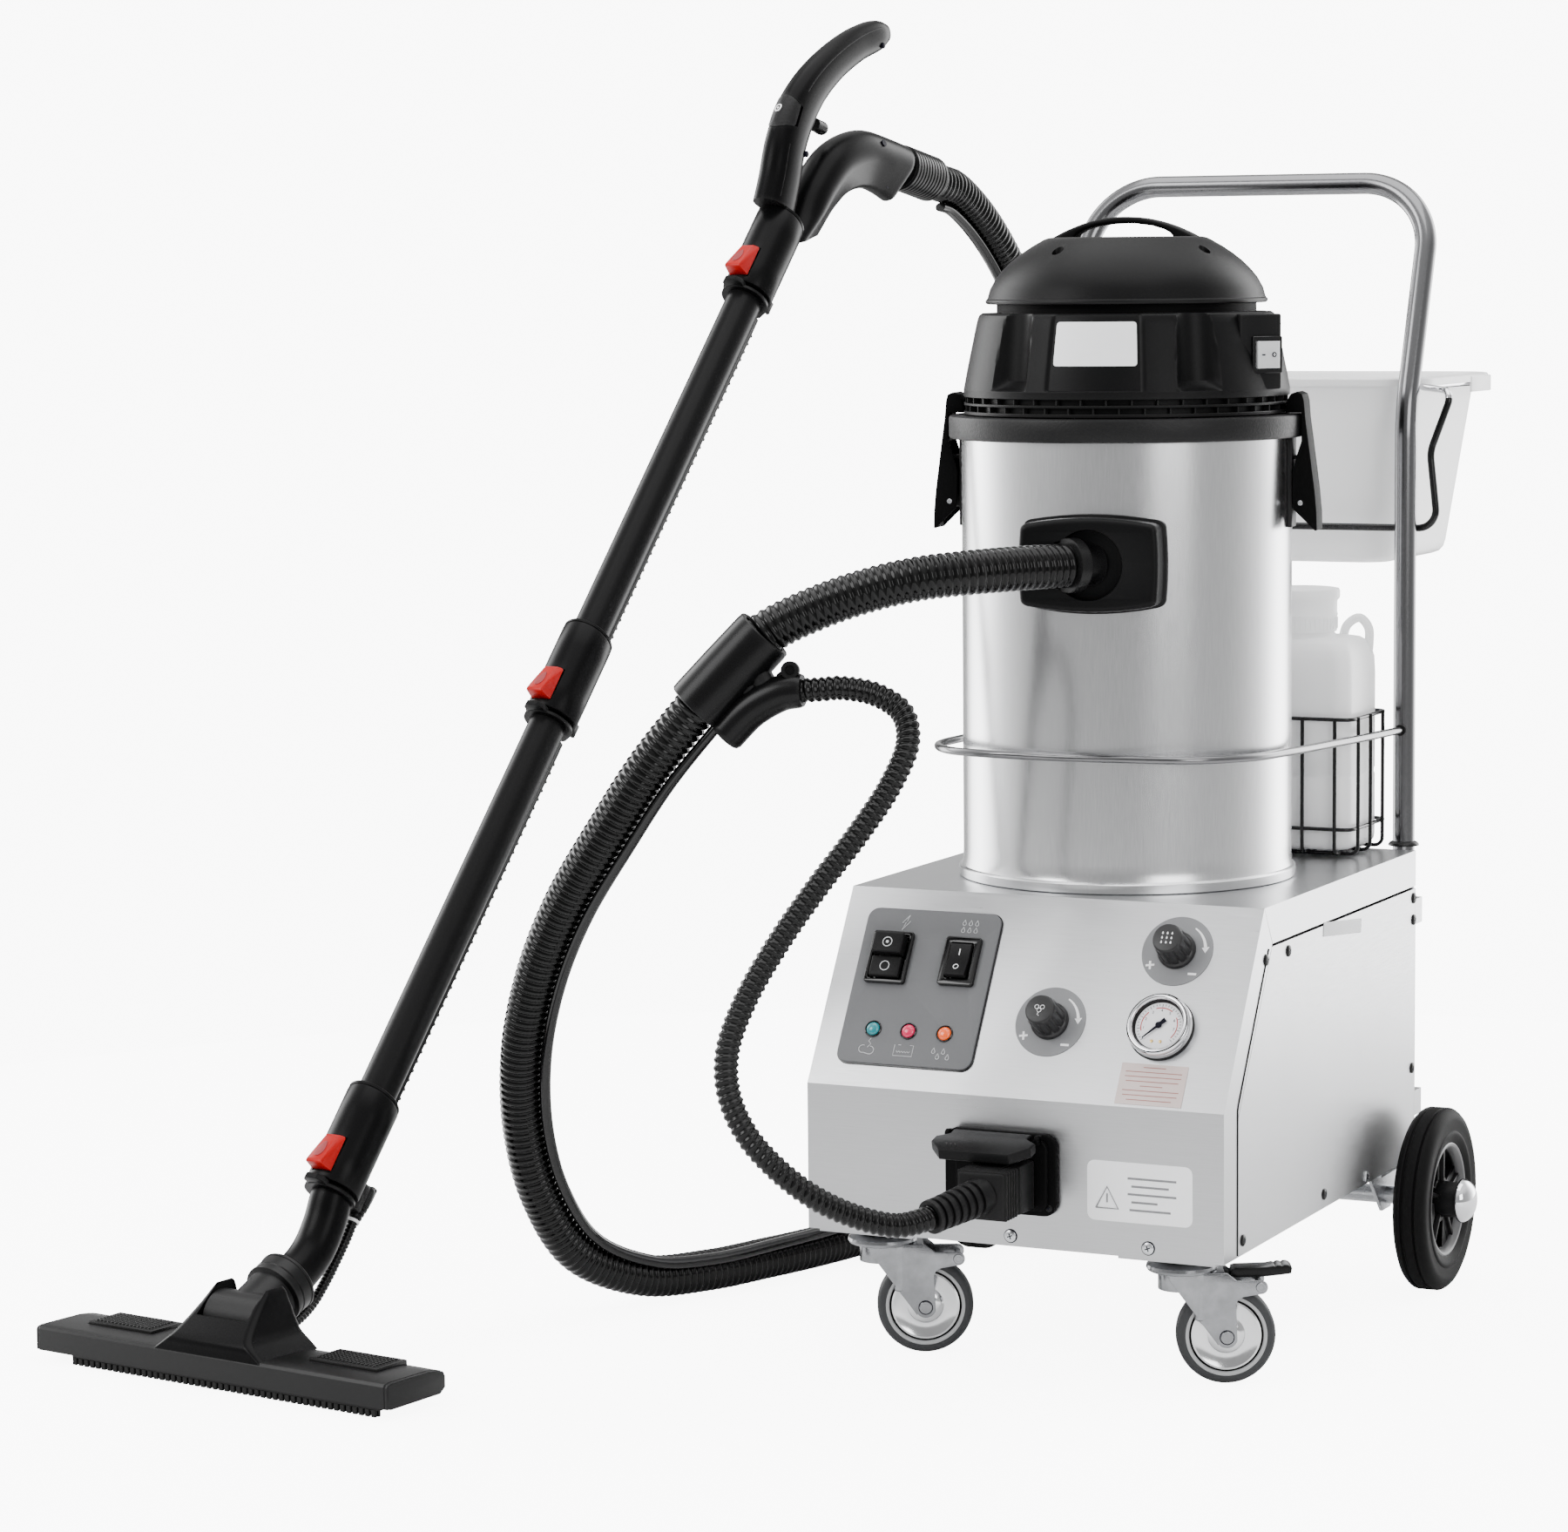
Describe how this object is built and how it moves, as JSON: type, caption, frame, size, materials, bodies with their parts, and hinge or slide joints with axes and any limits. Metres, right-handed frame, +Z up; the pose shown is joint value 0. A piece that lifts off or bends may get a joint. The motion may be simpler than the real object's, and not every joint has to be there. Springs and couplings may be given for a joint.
{
  "type": "steam cleaner",
  "caption": "Wheeled steel steam cleaner with a vacuum can on top, a push handle, a bottle basket, a bucket, and a wand with a floor tool on a long ribbed hose.",
  "frame": {"origin": "on the floor, under the middle of the machine, wand and floor tool without the hoses", "axes": "+Z up, -Y towards the operator's side with the controls, +X to the machine's right as seen from the front"},
  "size_m": [1.2688, 1.6788, 1.4134],
  "materials": {
    "steel_sheet": "brushed stainless sheet",
    "steel_tube": "satin stainless tube",
    "polished_steel": "polished stainless",
    "zinc": "bright zinc plate",
    "chrome": "chrome plate",
    "black_wire": "black coated rod",
    "black_plastic": "fine-grained black plastic",
    "gloss_black": "glossy black plastic",
    "grey_plate": "dark grey printed plate",
    "switch_grey": "pale grey switch rocker",
    "red_plastic": "red plastic",
    "milky_plastic": "milky polyethylene",
    "tyre": "black rubber tyre on a dark plastic hub",
    "grey_tyre": "grey rubber tread",
    "hose": "ribbed flexible hose"
  },
  "bodies": {
    "machine": {"cabinet_base": "steel_sheet", "front_panel": "steel_sheet", "side_panel_left": "steel_sheet", "side_panel_right": "steel_sheet", "top_cover": "steel_sheet", "boiler": "polished_steel", "water_tank": "milky_plastic", "control_plate": "grey_plate", "gauge_body": "chrome", "steam_socket": "black_plastic", "hose_plug": "black_plastic", "vac_can": "polished_steel", "vac_inlet": "black_plastic", "can_top_ring": "black_plastic", "can_hoop": "steel_tube", "push_handle": "steel_tube", "bucket_cradle": "black_wire", "bottle_basket": "black_wire", "rear_axle": "zinc", "wand_tube_lower": "black_plastic", "wand_tube_upper": "black_plastic", "wand_bend": "black_plastic", "hose_elbow": "black_plastic", "hand_grip": "black_plastic", "elbow_cuff": "black_plastic", "hose_sleeve": "black_plastic", "vac_hose": "hose", "steam_hose": "hose", "tool_steam_hose": "hose"},
    "vac_head": {"vac_head_base": "black_plastic", "vac_dome": "black_plastic", "vac_motor": "grey_plate"},
    "power_on_button": {"power_on_button": "black_plastic"},
    "power_off_button": {"power_off_button": "black_plastic"},
    "pump_rocker": {"pump_rocker": "black_plastic"},
    "steam_knob": {"steam_knob": "black_plastic"},
    "water_knob": {"water_knob": "black_plastic"},
    "gauge_needle": {"gauge_needle": "black_plastic"},
    "socket_lid": {"socket_lid": "black_plastic"},
    "vac_rocker": {"vac_rocker": "switch_grey"},
    "latch_left": {"latch_left": "black_plastic"},
    "latch_right": {"latch_right": "black_plastic"},
    "bucket": {"bucket": "milky_plastic"},
    "detergent_bottle": {"detergent_bottle": "milky_plastic"},
    "rear_wheel_left": {"rear_wheel_left": "tyre"},
    "rear_wheel_right": {"rear_wheel_right": "tyre"},
    "caster_fork_left": {"caster_fork_left": "zinc"},
    "caster_wheel_left": {"caster_wheel_left": "grey_tyre"},
    "caster_fork_right": {"caster_fork_right": "zinc"},
    "caster_wheel_right": {"caster_wheel_right": "grey_tyre"},
    "caster_brake": {"caster_brake": "black_plastic"},
    "release_button_lower": {"release_button_lower": "red_plastic"},
    "release_button_middle": {"release_button_middle": "red_plastic"},
    "release_button_upper": {"release_button_upper": "red_plastic"},
    "steam_trigger": {"steam_trigger": "gloss_black"},
    "grip_button": {"grip_button": "gloss_black"},
    "tool_neck": {"tool_neck": "black_plastic"},
    "floor_tool_body": {"floor_tool_body": "black_plastic"},
    "tool_pedal_left": {"tool_pedal_left": "black_plastic"},
    "tool_pedal_right": {"tool_pedal_right": "black_plastic"}
  },
  "joints": [
    {"name": "vac_head_lift", "type": "slide", "parent": "machine", "child": "vac_head", "axis": [0, 0, 1], "range_m": [0, 0.35]},
    {"name": "power_on_press", "type": "slide", "parent": "machine", "child": "power_on_button", "axis": [0, 0.8535, -0.5211], "range_m": [0, 0.003], "stiffness_N_per_m": 400, "springref_m": -0.002},
    {"name": "power_off_press", "type": "slide", "parent": "machine", "child": "power_off_button", "axis": [0, 0.8535, -0.5211], "range_m": [0, 0.003], "stiffness_N_per_m": 400, "springref_m": -0.002},
    {"name": "pump_rocker_tilt", "type": "hinge", "parent": "machine", "child": "pump_rocker", "pos_m": [0.23308, -0.20323, 0.41163], "axis": [1, 0, 0], "range_deg": [-6, 6]},
    {"name": "steam_knob_turn", "type": "hinge", "parent": "machine", "child": "steam_knob", "pos_m": [0.34388, -0.22568, 0.35855], "axis": [0, -0.8535, 0.5211], "range_deg": [-135, 135]},
    {"name": "water_knob_turn", "type": "hinge", "parent": "machine", "child": "water_knob", "pos_m": [0.46388, -0.18112, 0.43152], "axis": [0, -0.8535, 0.5211], "range_deg": [-135, 135]},
    {"name": "gauge_needle_turn", "type": "hinge", "parent": "machine", "child": "gauge_needle", "pos_m": [0.46368, -0.23369, 0.36461], "axis": [0, 0.8535, -0.5211], "range_deg": [0, 250]},
    {"name": "socket_lid_lift", "type": "hinge", "parent": "machine", "child": "socket_lid", "pos_m": [0.30688, -0.28997, 0.249], "axis": [1, 0, 0], "range_deg": [-70, 0]},
    {"name": "vac_rocker_tilt", "type": "hinge", "parent": "vac_head", "child": "vac_rocker", "pos_m": [0.48542, 0.01565, 1.0265], "axis": [0, 0, 1], "range_deg": [-1, 1]},
    {"name": "latch_left_swing", "type": "hinge", "parent": "machine", "child": "latch_left", "pos_m": [0.13374, 0.01539, 0.872], "axis": [-0.1736, 0.9848, 0], "range_deg": [-40, 0]},
    {"name": "latch_right_swing", "type": "hinge", "parent": "machine", "child": "latch_right", "pos_m": [0.50402, 0.08068, 0.872], "axis": [-0.1736, 0.9848, 0], "range_deg": [0, 40]},
    {"name": "bucket_slide", "type": "slide", "parent": "machine", "child": "bucket", "axis": [0, 1, 0], "range_m": [0, 0.2]},
    {"name": "bottle_lift", "type": "slide", "parent": "machine", "child": "detergent_bottle", "axis": [0, 0, 1], "range_m": [0, 0.2]},
    {"name": "rear_wheel_left_spin", "type": "hinge", "parent": "machine", "child": "rear_wheel_left", "pos_m": [0.04988, 0.28103, 0.1], "axis": [1, 0, 0], "continuous": true},
    {"name": "rear_wheel_right_spin", "type": "hinge", "parent": "machine", "child": "rear_wheel_right", "pos_m": [0.58788, 0.28103, 0.1], "axis": [1, 0, 0], "continuous": true},
    {"name": "caster_left_swivel", "type": "hinge", "parent": "machine", "child": "caster_fork_left", "pos_m": [0.15338, -0.22297, 0.12], "axis": [0, 0, 1], "continuous": true},
    {"name": "caster_left_roll", "type": "hinge", "parent": "caster_fork_left", "child": "caster_wheel_left", "pos_m": [0.19326, -0.20437, 0.05], "axis": [-0.4226, 0.9063, 0], "continuous": true},
    {"name": "caster_right_swivel", "type": "hinge", "parent": "machine", "child": "caster_fork_right", "pos_m": [0.48438, -0.22297, 0.12], "axis": [0, 0, 1], "continuous": true},
    {"name": "caster_right_roll", "type": "hinge", "parent": "caster_fork_right", "child": "caster_wheel_right", "pos_m": [0.52426, -0.20437, 0.05], "axis": [-0.4226, 0.9063, 0], "continuous": true},
    {"name": "caster_brake_press", "type": "hinge", "parent": "caster_fork_right", "child": "caster_brake", "pos_m": [0.52788, -0.20268, 0.112], "axis": [-0.4226, 0.9063, 0], "range_deg": [0, 8], "stiffness_Nm_per_rad": 2, "springref_deg": -11.46},
    {"name": "release_lower_press", "type": "slide", "parent": "machine", "child": "release_button_lower", "axis": [0.1174, 0.7581, -0.6415], "range_m": [0, 0.003], "stiffness_N_per_m": 300, "springref_m": -0.002},
    {"name": "release_middle_press", "type": "slide", "parent": "machine", "child": "release_button_middle", "axis": [0.1174, 0.7581, -0.6415], "range_m": [0, 0.003], "stiffness_N_per_m": 300, "springref_m": -0.002},
    {"name": "release_upper_press", "type": "slide", "parent": "machine", "child": "release_button_upper", "axis": [0.1174, 0.7581, -0.6415], "range_m": [0, 0.003], "stiffness_N_per_m": 300, "springref_m": -0.002},
    {"name": "steam_trigger_press", "type": "slide", "parent": "machine", "child": "steam_trigger", "axis": [0.1325, 0.8558, -0.5], "range_m": [0, 0.003], "stiffness_N_per_m": 300, "springref_m": -0.002},
    {"name": "grip_button_press", "type": "slide", "parent": "machine", "child": "grip_button", "axis": [-0.1471, -0.9502, 0.2747], "range_m": [0, 0.003], "stiffness_N_per_m": 300, "springref_m": -0.002},
    {"name": "tool_swivel", "type": "hinge", "parent": "machine", "child": "tool_neck", "pos_m": [-0.3828, -0.53334, 0.0856], "axis": [0.1406, 0.9084, 0.3938], "range_deg": [-20, 20]},
    {"name": "tool_tilt", "type": "hinge", "parent": "tool_neck", "child": "floor_tool_body", "pos_m": [-0.39198, -0.59263, 0.06], "axis": [0.9882, -0.153, 0], "range_deg": [-12, 12]},
    {"name": "tool_pedal_left_press", "type": "hinge", "parent": "floor_tool_body", "child": "tool_pedal_left", "pos_m": [-0.53669, -0.54696, 0.037], "axis": [0.9882, -0.153, 0], "range_deg": [0, 3], "stiffness_Nm_per_rad": 1, "springref_deg": -11.46},
    {"name": "tool_pedal_right_press", "type": "hinge", "parent": "floor_tool_body", "child": "tool_pedal_right", "pos_m": [-0.24023, -0.59285, 0.037], "axis": [0.9882, -0.153, 0], "range_deg": [0, 3], "stiffness_Nm_per_rad": 1, "springref_deg": -11.46}
  ]
}
